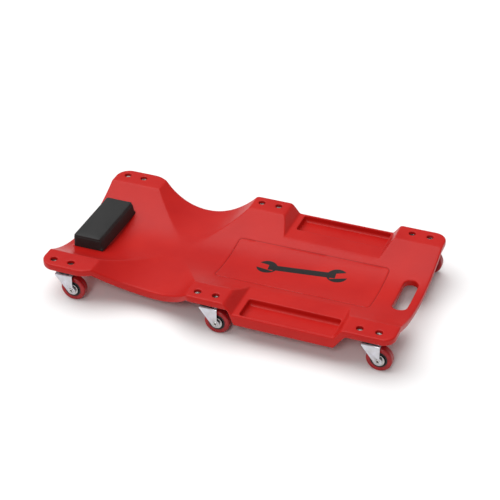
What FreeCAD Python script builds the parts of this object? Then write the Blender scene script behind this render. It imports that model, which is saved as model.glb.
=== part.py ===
import FreeCAD, Part

import math
import os

import Sketcher
from FreeCAD import Placement, Rotation, Vector

# Mechanics creeper: a one-piece plastic deck on six swivel casters, with a padded headrest.
#
# Frame: +X runs from the head end to the foot end, +Y is the lying person's left, +Z is up.
# The origin is under the middle of the deck, on the floor.  All sizes are millimetres.

doc = FreeCAD.newDocument("creeper")
sheet = doc.addObject("Spreadsheet::Sheet", "Sizes")


# ---------------------------------------------------------------- driving sizes
class Size:
    """A length together with the spreadsheet expression that gives it."""

    def __init__(self, text, value):
        self.text = text
        self.value = float(value)

    @staticmethod
    def of(other):
        return other if isinstance(other, Size) else Size(repr(float(other)), other)

    def __add__(self, other):
        other = Size.of(other)
        return Size(f"({self.text} + {other.text})", self.value + other.value)

    def __sub__(self, other):
        other = Size.of(other)
        return Size(f"({self.text} - {other.text})", self.value - other.value)

    def __rsub__(self, other):
        return Size.of(other) - self

    def __mul__(self, other):
        other = Size.of(other)
        return Size(f"({self.text} * {other.text})", self.value * other.value)

    def __truediv__(self, other):
        other = Size.of(other)
        return Size(f"({self.text} / {other.text})", self.value / other.value)

    def __neg__(self):
        return Size(f"(0 - {self.text})", -self.value)

    __radd__ = __add__
    __rmul__ = __mul__


def root(size):
    return Size(f"sqrt({size.text})", math.sqrt(size.value))


SIZES = {
    # lengths of the deck's zones, in order from the head end
    "head_pad_length": 136.0,
    "waist_length": 252.0,
    "mid_pad_length": 97.0,
    "tray_zone_length": 272.0,
    "foot_pad_length": 142.0,
    # deck width, heights and walls
    "deck_width": 482.0,
    "pad_thickness": 18.5,
    "trough_wall": 18.0,
    "trough_edge_inset": 64.0,
    "trough_depth_head": 48.5,
    "trough_depth_foot": 39.5,
    "head_corner_radius": 36.0,
    "foot_corner_radius": 32.0,
    # waist, seen from above and from the side
    "waist_inset": 43.0,
    "waist_plan_run": 117.0,
    "waist_plan_radius": 245.0,
    "waist_head_blend": 50.0,
    "waist_foot_blend": 22.0,
    "waist_dip": 44.5,
    "waist_dip_head_run": 140.0,
    "waist_wall": 22.5,
    # tool trays
    "tray_zone_drop": 25.5,
    "tray_slope_run": 21.0,
    "tray_foot_slope_run": 18.0,
    "tray_skirt": 9.0,
    "tray_wall_height": 31.0,
    "tray_depth": 17.0,
    "tray_width": 70.0,
    "tray_rim": 7.0,
    "tray_head_wall": 16.0,
    "tray_foot_wall": 4.0,
    "tray_corner_radius": 7.0,
    # handle slot and panel groove
    "slot_width": 36.0,
    "slot_length": 129.0,
    "slot_to_foot_end": 22.0,
    "groove_width": 2.4,
    "groove_depth": 0.9,
    "groove_half_width": 90.0,
    "groove_head_gap": 10.0,
    "groove_foot_overlap": 39.0,
    "groove_corner_radius": 12.0,
    # caster stations
    "head_station": 53.0,
    "mid_station": 45.0,
    "foot_station": 64.0,
    "station_side_inset": 27.0,
    "bolt_diameter": 8.0,
    "bolt_clearance": 0.5,
    "bolt_race_gap": 1.3,
    "counterbore_clearance": 0.55,
    "counterbore_depth": 13.0,
    # caster
    "wheel_diameter": 63.5,
    "tyre_width": 22.0,
    "tyre_thickness": 11.0,
    "tyre_shoulder": 4.0,
    "hub_length": 25.2,
    "caster_trail": 28.4,
    "fork_width": 38.0,
    "fork_metal": 2.5,
    "wheel_crown_gap": 7.3,
    "axle_diameter": 8.0,
    "bush_wall": 1.0,
    "plate_end_margin": 14.0,
    "plate_width": 34.0,
    "plate_corner_radius": 7.0,
    "plate_metal": 2.5,
    "race_drop": 4.0,
    "race_radius": 10.5,
    "ball_diameter": 4.0,
    "kingpin_diameter": 8.0,
    # headrest
    "headrest_length": 72.0,
    "headrest_width": 190.0,
    "headrest_setback": 25.0,
    "headrest_foam": 28.5,
    "headrest_flare": 4.0,
    "plinth_rise": 15.0,
    "board_thickness": 5.0,
}

for row, (name, number) in enumerate(SIZES.items(), start=1):
    sheet.set(f"A{row}", name)
    sheet.set(f"B{row}", str(number))
    sheet.setAlias(f"B{row}", name)
doc.recompute()

z = {name: Size(f"Sizes.{name}", sheet.get(name)) for name in SIZES}

BALLS_PER_RACE = 14
RACE_GAP_SHARE = 0.8
RACE_BOSS_WALL = 1.7
HEX_CORNERS_PER_DIAMETER = 1.875
WASHER_MARGIN = 0.7
RUNNING_CLEARANCE = 0.06
RACE_CLEARANCE = 0.05
TOUCH_GAP = 0.2
OVERSHOOT = 20.0
ZERO = Size("0", 0)

# places along the deck, from the middle of its length
deck_length = (z["head_pad_length"] + z["waist_length"] + z["mid_pad_length"]
               + z["tray_zone_length"] + z["foot_pad_length"])
head_end = -deck_length / 2
foot_end = deck_length / 2
waist_start = head_end + z["head_pad_length"]
waist_end = waist_start + z["waist_length"]
tray_zone_start = waist_end + z["mid_pad_length"]
tray_zone_end = tray_zone_start + z["tray_zone_length"]
half_width = z["deck_width"] / 2

# heights, from the floor up through the caster to the top of a pad
axle_height = z["wheel_diameter"] / 2
ball_radius = z["ball_diameter"] / 2
crown_under = z["wheel_diameter"] + z["wheel_crown_gap"]
crown_top = crown_under + z["fork_metal"]
ball_height = crown_top + ball_radius * RACE_GAP_SHARE
race_floor = ball_height + ball_radius * RACE_GAP_SHARE
plate_under = race_floor + z["race_drop"]
mount_height = plate_under + z["plate_metal"]
pad_top = mount_height + z["pad_thickness"]
tray_zone_top = pad_top - z["tray_zone_drop"]
plinth_top = pad_top - z["trough_depth_head"] + z["plinth_rise"]

# the caster's bolts stand clear of its ball race
hex_corner_radius = z["bolt_diameter"] * HEX_CORNERS_PER_DIAMETER / 2
washer_radius = hex_corner_radius + WASHER_MARGIN
counterbore_radius = washer_radius + z["counterbore_clearance"]
race_boss_radius = z["race_radius"] + ball_radius + RACE_BOSS_WALL
bolt_reach = race_boss_radius + hex_corner_radius + z["bolt_race_gap"]

STATIONS = {
    "head": head_end + z["head_station"],
    "mid": waist_end + z["mid_station"],
    "foot": foot_end - z["foot_station"],
}
half_track = half_width - z["station_side_inset"]
SIDES = {"left": half_track, "right": -half_track}


# ---------------------------------------------------------------- helpers
def bind(thing, path, size):
    thing.setExpression(path, Size.of(size).text)


def place(thing, x=ZERO, y=ZERO, height=ZERO, rotation=None):
    """Put an object at a bound place, turned by a fixed rotation."""
    thing.Placement = Placement(Vector(), rotation or Rotation())
    for axis, size in (("x", x), ("y", y), ("z", height)):
        bind(thing, f"Placement.Base.{axis}", size)


FACING_X = Rotation(Vector(1, 1, 1), 120)
FACING_Y = Rotation(Vector(1, 0, 0), 90)
ALONG_Y = Rotation(Vector(1, 0, 0), -90)


def pin_point(sketch, curve, end, x, y):
    """Hold one end of a sketch curve at bound coordinates."""
    for kind, axis, size in (("DistanceX", -2, x), ("DistanceY", -1, y)):
        size = Size.of(size)
        if abs(size.value) < 1e-9:
            sketch.addConstraint(Sketcher.Constraint("PointOnObject", curve, end, axis))
            continue
        if size.value > 0:
            rule = Sketcher.Constraint(kind, -1, 1, curve, end, size.value)
        else:
            rule = Sketcher.Constraint(kind, curve, end, -1, 1, -size.value)
            size = -size
        number = sketch.addConstraint(rule)
        label = f"at_{number}"
        sketch.renameConstraint(number, label)
        sketch.setExpression(f"Constraints.{label}", size.text)


def arc_through(start, end, radius, turn):
    """A circular arc between two points; turn is +1 anticlockwise or -1 clockwise."""
    chord = end - start
    middle = (start + end) / 2
    rise = math.sqrt(max(radius ** 2 - chord.Length ** 2 / 4, 0))
    left = Vector(-chord.y, chord.x, 0).normalize()
    centre = middle + left * rise * turn
    first, last = (start, end) if turn > 0 else (end, start)
    angles = [math.atan2(p.y - centre.y, p.x - centre.x) for p in (first, last)]
    if angles[1] <= angles[0]:
        angles[1] += 2 * math.pi
    return Part.ArcOfCircle(Part.Circle(centre, Vector(0, 0, 1), radius), *angles)


def draw_outline(sketch, corners, arcs=None):
    """Draw one closed outline.

    corners holds (x, y) sizes.  arcs maps a corner's number to the (radius, turn) of the
    stretch that leaves it; every other stretch is straight.
    """
    arcs = arcs or {}
    points = [Vector(Size.of(x).value, Size.of(y).value, 0) for x, y in corners]
    first_curve = sketch.GeometryCount
    ends = []
    for number, point in enumerate(points):
        following = points[(number + 1) % len(points)]
        if number in arcs:
            radius, turn = arcs[number]
            curve = sketch.addGeometry(arc_through(point, following, Size.of(radius).value, turn))
            ends.append((1, 2) if turn > 0 else (2, 1))
        else:
            curve = sketch.addGeometry(Part.LineSegment(point, following))
            ends.append((1, 2))
    for number, (x, y) in enumerate(corners):
        before = (number - 1) % len(corners)
        joint = Sketcher.Constraint("Coincident", first_curve + before, ends[before][1],
                                    first_curve + number, ends[number][0])
        sketch.addConstraint(joint)
        pin_point(sketch, first_curve + number, ends[number][0], x, y)
    for number, (radius, turn) in arcs.items():
        radius = Size.of(radius)
        rule = sketch.addConstraint(Sketcher.Constraint("Radius", first_curve + number, radius.value))
        label = f"radius_{rule}"
        sketch.renameConstraint(rule, label)
        sketch.setExpression(f"Constraints.{label}", radius.text)


def free_sketch(name, corners, arcs=None, rotation=None, x=ZERO, y=ZERO, height=ZERO):
    sketch = doc.addObject("Sketcher::SketchObject", name)
    draw_outline(sketch, corners, arcs)
    place(sketch, x, y, height, rotation)
    return sketch


def extrusion(name, sketch, direction, length, both_ways=False):
    solid = doc.addObject("Part::Extrusion", name)
    solid.Base = sketch
    solid.DirMode = "Custom"
    solid.Dir = direction
    solid.Solid = True
    solid.Symmetric = both_ways
    bind(solid, "LengthFwd", length)
    return solid


def loft(name, sections):
    solid = doc.addObject("Part::Loft", name)
    solid.Sections = sections
    solid.Solid = True
    solid.Ruled = True
    return solid


def cut(name, base, tool):
    result = doc.addObject("Part::Cut", name)
    result.Base = base
    result.Tool = tool
    return result


def common(name, base, tool):
    result = doc.addObject("Part::Common", name)
    result.Base = base
    result.Tool = tool
    return result


def fuse(name, shapes):
    result = doc.addObject("Part::MultiFuse", name)
    result.Shapes = shapes
    return result


def group(name, solids):
    """Identical separate solids that share one node."""
    result = doc.addObject("Part::Compound", name)
    result.Links = solids
    return result


def cylinder(name, radius, height, x=ZERO, y=ZERO, base=ZERO, rotation=None):
    solid = doc.addObject("Part::Cylinder", name)
    bind(solid, "Radius", radius)
    bind(solid, "Height", height)
    place(solid, x, y, base, rotation)
    return solid


def box(name, length, width, height, x, y, base):
    solid = doc.addObject("Part::Box", name)
    bind(solid, "Length", length)
    bind(solid, "Width", width)
    bind(solid, "Height", height)
    place(solid, x, y, base)
    return solid


def hexagon(name, corner_radius, height, x, y, base):
    solid = doc.addObject("Part::Prism", name)
    solid.Polygon = 6
    bind(solid, "Circumradius", corner_radius)
    bind(solid, "Height", height)
    place(solid, x, y, base)
    return solid


def origin_plane(body, role):
    return next(item for item in body.Origin.OriginFeatures if item.Role == role)


def body_sketch(body, name, plane, corners, arcs=None, offset=None):
    """A sketch on one of its own body's origin planes, moved out along its normal."""
    sketch = body.newObject("Sketcher::SketchObject", name)
    sketch.AttachmentSupport = [(origin_plane(body, plane), "")]
    sketch.MapMode = "FlatFace"
    draw_outline(sketch, corners, arcs)
    if offset is not None:
        bind(sketch, "AttachmentOffset.Base.z", offset)
    return sketch


def turned_body(name, corners, arcs, axis):
    """A body of revolution; the sketch lies on the XZ plane and turns about its H or V axis."""
    body = doc.addObject("PartDesign::Body", name)
    sketch = body_sketch(body, f"{name}_profile", "XZ_Plane", corners, arcs)
    turned = body.newObject("PartDesign::Revolution", f"{name}_turned")
    turned.Profile = sketch
    turned.ReferenceAxis = (sketch, [axis])
    turned.Angle = 360
    body.Tip = turned
    return body


def edges_where(shape, test):
    return [number for number, edge in enumerate(shape.Edges, start=1) if test(edge)]


# ---------------------------------------------------------------- deck shell
PLINTH_END_MARGIN = 1.0
PLINTH_SIDE_MARGIN = 2.0
PLINTH_ROOT = 8.0
SCREW_RADIUS = 2.0
SCREW_CLEARANCE = 0.2
SCREW_HEAD_RADIUS = 4.5
SCREW_HEAD_HEIGHT = 2.4
SCREW_POCKET_CLEARANCE = 1.0
SCREW_WEB = 8.0
SCREW_END_MARGIN = 18.0
SCREW_SIDE_MARGIN = 35.0


def screw_places():
    """Where the headrest's four screws stand."""
    middle_x = head_end + z["headrest_setback"] + z["headrest_length"] / 2
    reach_x = z["headrest_length"] / 2 - SCREW_END_MARGIN
    reach_y = z["headrest_width"] / 2 - SCREW_SIDE_MARGIN
    return [(middle_x + reach_x * a, reach_y * b) for a in (-1.0, 1.0) for b in (-1.0, 1.0)]


def plan_outline():
    """The deck seen from above, with its waist and rounded corners, padded to full height."""
    head_round = z["head_corner_radius"]
    foot_round = z["foot_corner_radius"]
    waist = z["waist_plan_radius"]
    head_blend = z["waist_head_blend"]
    foot_blend = z["waist_foot_blend"]
    middle = waist_start + z["waist_plan_run"]
    centre = half_width - z["waist_inset"] + waist

    def blend(radius, side):
        """Where a blend leaves the straight side and where it meets the waist arc."""
        away = root((waist + radius) * (waist + radius)
                    - (centre - half_width + radius) * (centre - half_width + radius))
        on_side = middle + away * side
        share = waist / (waist + radius)
        on_arc = (middle + away * side * share,
                  centre - (centre - half_width + radius) * share)
        return on_side, on_arc

    head_side, head_arc = blend(head_blend, -1.0)
    foot_side, foot_arc = blend(foot_blend, 1.0)
    upper = [
        (head_end, half_width - head_round),
        (head_end + head_round, half_width),
        (head_side, half_width),
        head_arc,
        foot_arc,
        (foot_side, half_width),
        (foot_end - foot_round, half_width),
        (foot_end, half_width - foot_round),
    ]
    bends = {0: head_round, 2: head_blend, 3: waist, 4: foot_blend, 6: foot_round}
    turns = {0: -1, 2: -1, 3: 1, 4: -1, 6: -1}
    lower = [(x, -y) for x, y in reversed(upper)]
    arcs = {number: (radius, turns[number]) for number, radius in bends.items()}
    last = len(upper) + len(lower) - 2
    for number, radius in bends.items():
        arcs[last - number] = (radius, turns[number])
    return free_sketch("deck_plan", upper + lower, arcs)


def trough_section(name, x, depth, drop, keep_above):
    """Section of the lying trough at one end: a shallow arc from pad edge to pad edge."""
    reach = half_width - z["trough_edge_inset"]
    radius = (reach * reach + depth * depth) / (depth * 2)
    edge = pad_top - drop
    if keep_above:
        corners = [(-reach, edge), (reach, edge), (reach, edge + OVERSHOOT), (-reach, edge + OVERSHOOT)]
    else:
        far = half_width + OVERSHOOT
        corners = [(-reach, edge), (reach, edge), (far, edge), (far, -OVERSHOOT),
                   (-far, -OVERSHOOT), (-far, edge)]
    return free_sketch(name, corners, {0: (radius, 1)}, FACING_X, x=x)


def trough_loft(name, drop, keep_above):
    """The space above the trough's surface, or the solid under it, lowered by drop."""
    sections = [
        trough_section(f"{name}_head", head_end - OVERSHOOT, z["trough_depth_head"], drop, keep_above),
        trough_section(f"{name}_foot", foot_end + OVERSHOOT, z["trough_depth_foot"], drop, keep_above),
    ]
    return loft(name, sections)


def side_line(name, level, lowest, tray_height, tray_slopes, limit):
    """Side view of the deck's edge: level over the pads, dipping at the waist and the trays.

    tray_slopes gives how far the two slopes beside the tray zone start and end from the zone's
    limits.  The outline closes on the limit height: above for the top cut, below for the underside.
    """
    dip = level - lowest
    head_run = z["waist_dip_head_run"]
    foot_run = z["waist_length"] - head_run
    head_radius = (head_run * head_run + dip * dip) / (dip * 2)
    foot_radius = (foot_run * foot_run + dip * dip) / (dip * 2)
    down_start, down_end, up_start, up_end = tray_slopes
    corners = [
        (head_end - OVERSHOOT, level),
        (waist_start, level),
        (waist_start + head_run, lowest),
        (waist_end, level),
        (tray_zone_start + down_start, level),
        (tray_zone_start + down_end, tray_height),
        (tray_zone_end + up_start, tray_height),
        (tray_zone_end + up_end, level),
        (foot_end + OVERSHOOT, level),
        (foot_end + OVERSHOOT, limit),
        (head_end - OVERSHOOT, limit),
    ]
    return free_sketch(name, corners, {1: (head_radius, 1), 2: (foot_radius, 1)}, FACING_Y)


def rounded_box(name, length, width, height, x, y, base, radius):
    """A box with its four upright edges and its floor edges rounded."""
    blank = box(f"{name}_block", length, width, height, x, y, base)
    doc.recompute()
    low = blank.Shape.BoundBox.ZMin

    def rounded(edge):
        upright = edge.BoundBox.ZLength > 1
        on_floor = edge.BoundBox.ZMax < low + 0.01
        return upright or on_floor

    solid = doc.addObject("Part::Fillet", name)
    solid.Base = blank
    solid.Edges = [(number, radius.value, radius.value) for number in edges_where(blank.Shape, rounded)]
    return solid


def deck_shell():
    blank = extrusion("deck_blank", plan_outline(), Vector(0, 0, 1), pad_top)

    full_width = z["deck_width"] + OVERSHOOT
    top_slopes = (ZERO, z["tray_slope_run"], ZERO, z["tray_foot_slope_run"])
    top_line = side_line("edge_top_line", pad_top, pad_top - z["waist_dip"], tray_zone_top,
                         top_slopes, pad_top + OVERSHOOT)
    above = extrusion("above_edges", top_line, Vector(0, 1, 0), full_width, both_ways=True)
    trough = trough_loft("trough_space", ZERO, keep_above=True)

    skirt = z["tray_skirt"]
    under_slopes = (skirt, z["tray_slope_run"] + skirt / 2, ZERO, z["tray_foot_slope_run"] + skirt)
    bottom_line = side_line("edge_bottom_line", mount_height, pad_top - z["waist_dip"] - z["waist_wall"],
                            tray_zone_top - z["tray_wall_height"], under_slopes, Size.of(-OVERSHOOT))
    below = extrusion("below_edges", bottom_line, Vector(0, 1, 0), full_width, both_ways=True)
    under_trough = trough_loft("under_trough", z["trough_wall"], keep_above=False)
    underside = common("underside", below, under_trough)

    topped = cut("deck_topped", blank, fuse("top_cuts", [above, trough]))
    shell = cut("deck_formed", topped, underside)

    # a low flat plinth in the trough that the headrest board is screwed to
    plinth_length = z["headrest_length"] + PLINTH_END_MARGIN * 2
    plinth_width = z["headrest_width"] + PLINTH_SIDE_MARGIN * 2
    plinth_floor = mount_height - z["trough_depth_head"] + PLINTH_ROOT
    plinth = box("headrest_plinth", plinth_length, plinth_width, plinth_top - plinth_floor,
                 head_end + z["headrest_setback"] - PLINTH_END_MARGIN, -plinth_width / 2, plinth_floor)
    shell = fuse("deck_with_plinth", [shell, plinth])

    tools = []
    walls = z["tray_head_wall"] + z["tray_foot_wall"]
    tray_length = z["tray_zone_length"] - z["tray_slope_run"] - walls
    tray_x = tray_zone_start + z["tray_slope_run"] + z["tray_head_wall"]
    outer = half_width - z["tray_rim"]
    for side, y in (("left", outer - z["tray_width"]), ("right", -outer)):
        tools.append(rounded_box(f"tray_{side}", tray_length, z["tray_width"], z["tray_depth"] + OVERSHOOT,
                                 tray_x, y, tray_zone_top - z["tray_depth"], z["tray_corner_radius"]))

    slot_round = z["slot_width"] / 2
    slot_reach = z["slot_length"] / 2 - slot_round
    slot_x = foot_end - z["slot_to_foot_end"] - slot_round
    tools.append(box("slot_middle", z["slot_width"], slot_reach * 2, pad_top,
                     slot_x - slot_round, -slot_reach, ZERO))
    for side, y in (("left", slot_reach), ("right", -slot_reach)):
        tools.append(cylinder(f"slot_end_{side}", slot_round, pad_top, slot_x, y))

    for station, x in STATIONS.items():
        for side, y in SIDES.items():
            for end, reach in (("a", -bolt_reach), ("b", bolt_reach)):
                tag = f"{station}_{side}_{end}"
                hole = z["bolt_diameter"] / 2 + z["bolt_clearance"]
                tools.append(cylinder(f"hole_{tag}", hole, pad_top, x + reach, y))
                tools.append(cylinder(f"counterbore_{tag}", counterbore_radius, pad_top,
                                      x + reach, y, pad_top - z["counterbore_depth"]))
    for number, (x, y) in enumerate(screw_places()):
        tools.append(cylinder(f"screw_hole_{number}", SCREW_RADIUS + SCREW_CLEARANCE, pad_top, x, y))
        tools.append(cylinder(f"screw_pocket_{number}", SCREW_HEAD_RADIUS + SCREW_POCKET_CLEARANCE,
                              plinth_top - SCREW_WEB, x, y))
    tools.append(panel_groove())

    return cut("deck_shell", shell, fuse("deck_openings", tools))


def rounded_rectangle(name, low_x, high_x, reach, radius):
    corners = [(low_x + radius, -reach), (high_x - radius, -reach),
               (high_x, radius - reach), (high_x, reach - radius),
               (high_x - radius, reach), (low_x + radius, reach),
               (low_x, reach - radius), (low_x, radius - reach)]
    return free_sketch(name, corners, {1: (radius, 1), 3: (radius, 1), 5: (radius, 1), 7: (radius, 1)})


def panel_groove():
    """A fine groove round the panel that the back rests on, of even depth on the curved floor."""
    low_x = waist_end + z["groove_head_gap"]
    high_x = tray_zone_end + z["groove_foot_overlap"]
    reach = z["groove_half_width"]
    radius = z["groove_corner_radius"]
    width = z["groove_width"]
    outer = extrusion("groove_outer", rounded_rectangle("groove_outer_line", low_x, high_x, reach, radius),
                      Vector(0, 0, 1), pad_top)
    inner_line = rounded_rectangle("groove_inner_line", low_x + width, high_x - width,
                                   reach - width, radius - width)
    inner = extrusion("groove_inner", inner_line, Vector(0, 0, 1), pad_top)
    ring = cut("groove_ring", outer, inner)
    return cut("panel_groove", ring, trough_loft("under_groove", z["groove_depth"], keep_above=False))


# ---------------------------------------------------------------- headrest
BOARD_INSET = 3.0
CUSHION_ROUND = 5.0
PILOT_WEB = 0.6


def headrest():
    low_x = head_end + z["headrest_setback"]
    half = z["headrest_width"] / 2
    board = box("board_blank", z["headrest_length"] - BOARD_INSET * 2, z["headrest_width"] - BOARD_INSET * 2,
                z["board_thickness"], low_x + BOARD_INSET, BOARD_INSET - half, plinth_top)
    pilots = [cylinder(f"pilot_{number}", SCREW_RADIUS, z["board_thickness"] - PILOT_WEB, x, y, plinth_top)
              for number, (x, y) in enumerate(screw_places())]
    cut("headrest_board", board, fuse("pilot_holes", pilots))

    # foam block, a little wider at its base than on top
    flare = z["headrest_flare"]
    base = plinth_top + z["board_thickness"]

    def section(name, spread, height):
        corners = [(low_x - spread, -half - spread), (low_x + z["headrest_length"] + spread, -half - spread),
                   (low_x + z["headrest_length"] + spread, half + spread), (low_x - spread, half + spread)]
        return free_sketch(name, corners, height=height)

    block = loft("cushion_block", [section("cushion_base", flare, base),
                                   section("cushion_top", ZERO, base + z["headrest_foam"])])
    doc.recompute()
    solid = doc.addObject("Part::Fillet", "headrest_cushion")
    solid.Base = block
    top = block.Shape.BoundBox.ZMax
    round_edges = edges_where(block.Shape, lambda edge: edge.BoundBox.ZMax > top - 0.01)
    solid.Edges = [(number, CUSHION_ROUND, CUSHION_ROUND) for number in round_edges]

    screws = []
    for number, (x, y) in enumerate(screw_places()):
        under = plinth_top - SCREW_WEB
        length = z["board_thickness"] - PILOT_WEB + SCREW_WEB
        shank = cylinder(f"screw_shank_{number}", SCREW_RADIUS, length, x, y, under)
        head = cylinder(f"screw_head_{number}", SCREW_HEAD_RADIUS, SCREW_HEAD_HEIGHT, x, y,
                        under - SCREW_HEAD_HEIGHT)
        screws.append(fuse(f"screw_{number}", [shank, head]))
    group("headrest_screws", screws)


# ---------------------------------------------------------------- caster fasteners
WASHER_METAL = 1.6
WASHER_CLEARANCE = 0.2
BOLT_HEAD_HEIGHT = 5.3
BOLT_TAIL = 0.4
NUT_HEIGHT = 5.5


def caster_fasteners():
    bolts, washers, nuts = [], [], []
    seat = pad_top - z["counterbore_depth"]
    radius = z["bolt_diameter"] / 2
    for station, x in STATIONS.items():
        for side, y in SIDES.items():
            for end, reach in (("a", -bolt_reach), ("b", bolt_reach)):
                tag = f"{station}_{side}_{end}"
                at = x + reach
                tail = plate_under - NUT_HEIGHT - BOLT_TAIL
                shank = cylinder(f"bolt_shank_{tag}", radius, seat + WASHER_METAL - tail, at, y, tail)
                head = hexagon(f"bolt_head_{tag}", hex_corner_radius, BOLT_HEAD_HEIGHT, at, y,
                               seat + WASHER_METAL)
                bolts.append(fuse(f"bolt_{tag}", [shank, head]))
                disc = cylinder(f"washer_disc_{tag}", washer_radius, WASHER_METAL, at, y, seat)
                bore = cylinder(f"washer_bore_{tag}", radius + WASHER_CLEARANCE, WASHER_METAL, at, y, seat)
                washers.append(cut(f"washer_{tag}", disc, bore))
                block = hexagon(f"nut_block_{tag}", hex_corner_radius, NUT_HEIGHT, at, y,
                                plate_under - NUT_HEIGHT)
                thread = cylinder(f"nut_bore_{tag}", radius, NUT_HEIGHT, at, y, plate_under - NUT_HEIGHT)
                nuts.append(cut(f"nut_{tag}", block, thread))
    group("caster_bolts", bolts)
    group("bolt_washers", washers)
    group("lock_nuts", nuts)


# ---------------------------------------------------------------- caster swivel
KINGPIN_HEAD_HEIGHT = 2.5
KINGPIN_HEAD_FLANGE = 2.5
CUP_METAL = 2.6
CUP_RADIUS = 9.0
RIVET_HEAD_HEIGHT = 1.8

cup_top = crown_under - TOUCH_GAP
kingpin_radius = z["kingpin_diameter"] / 2
kingpin_head_radius = kingpin_radius + KINGPIN_HEAD_FLANGE


def race_ring(name):
    """The ring that the balls roll in, cut into the plate above and the fork below."""
    ring = doc.addObject("Part::Torus", name)
    bind(ring, "Radius1", z["race_radius"])
    bind(ring, "Radius2", ball_radius + RACE_CLEARANCE)
    return ring


def top_plate(tag, x, y):
    """Pressed plate bolted under the pad, with its centre pressed down into a ball race."""
    half_long = bolt_reach + z["plate_end_margin"]
    half_wide = z["plate_width"] / 2
    corner = z["plate_corner_radius"]
    corners = [(corner - half_long, -half_wide), (half_long - corner, -half_wide),
               (half_long, corner - half_wide), (half_long, half_wide - corner),
               (half_long - corner, half_wide), (corner - half_long, half_wide),
               (-half_long, half_wide - corner), (-half_long, corner - half_wide)]
    outline = free_sketch(f"plate_outline_{tag}", corners,
                          {1: (corner, 1), 3: (corner, 1), 5: (corner, 1), 7: (corner, 1)},
                          x=x, y=y, height=plate_under)
    flange = extrusion(f"plate_flange_{tag}", outline, Vector(0, 0, 1), z["plate_metal"])
    boss = cylinder(f"plate_boss_{tag}", race_boss_radius, z["race_drop"] + z["plate_metal"],
                    x, y, race_floor)
    recess = cylinder(f"plate_recess_{tag}", race_boss_radius - z["plate_metal"], OVERSHOOT, x, y,
                      race_floor + z["plate_metal"])
    centre = cylinder(f"plate_centre_{tag}", kingpin_radius, OVERSHOOT, x, y, race_floor)
    ring = race_ring(f"plate_race_{tag}")
    place(ring, x, y, ball_height)
    holes = [cylinder(f"plate_hole_{tag}_{end}", z["bolt_diameter"] / 2 + z["bolt_clearance"],
                      pad_top, x + reach, y)
             for end, reach in (("a", -bolt_reach), ("b", bolt_reach))]
    pressed = fuse(f"plate_pressed_{tag}", [flange, boss])
    cut(f"top_plate_{tag}", pressed, fuse(f"plate_cuts_{tag}", [recess, centre, ring] + holes))


def race_balls(tag, x, y):
    balls = []
    for number in range(BALLS_PER_RACE):
        angle = 2 * math.pi * number / BALLS_PER_RACE
        ball = doc.addObject("Part::Sphere", f"ball_{tag}_{number}")
        bind(ball, "Radius", ball_radius)
        place(ball, x + z["race_radius"] * math.cos(angle), y + z["race_radius"] * math.sin(angle),
              ball_height)
        balls.append(ball)
    group(f"race_balls_{tag}", balls)


def kingpins_and_cups():
    """Rivets that hold each fork up to its plate, and the cups they are riveted over."""
    pins, cups = [], []
    head_seat = race_floor + z["plate_metal"]
    cup_under = cup_top - CUP_METAL
    for station, x in STATIONS.items():
        for side, y in SIDES.items():
            tag = f"{station}_{side}"
            shank = cylinder(f"kingpin_shank_{tag}", kingpin_radius, head_seat - cup_under, x, y, cup_under)
            head = cylinder(f"kingpin_head_{tag}", kingpin_head_radius, KINGPIN_HEAD_HEIGHT, x, y, head_seat)
            foot = cylinder(f"kingpin_foot_{tag}", kingpin_head_radius, RIVET_HEAD_HEIGHT, x, y,
                            cup_under - RIVET_HEAD_HEIGHT)
            pins.append(fuse(f"kingpin_{tag}", [shank, head, foot]))
            disc = cylinder(f"cup_disc_{tag}", CUP_RADIUS, CUP_METAL, x, y, cup_under)
            bore = cylinder(f"cup_bore_{tag}", kingpin_radius, CUP_METAL, x, y, cup_under)
            cups.append(cut(f"cup_{tag}", disc, bore))
    group("kingpins", pins)
    group("race_cups", cups)


LEG_HEAD_REACH = 13.0
LEG_FOOT_OFFSET = 3.6
LEG_HEAD_DROP = 5.0
LEG_EYE_RADIUS = 10.0
LEG_EYE_START = math.radians(211)
LEG_EYE_FOOT = math.radians(300)
LEG_EYE_END = math.radians(69)
FORK_BEND_INSIDE = 1.0


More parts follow.
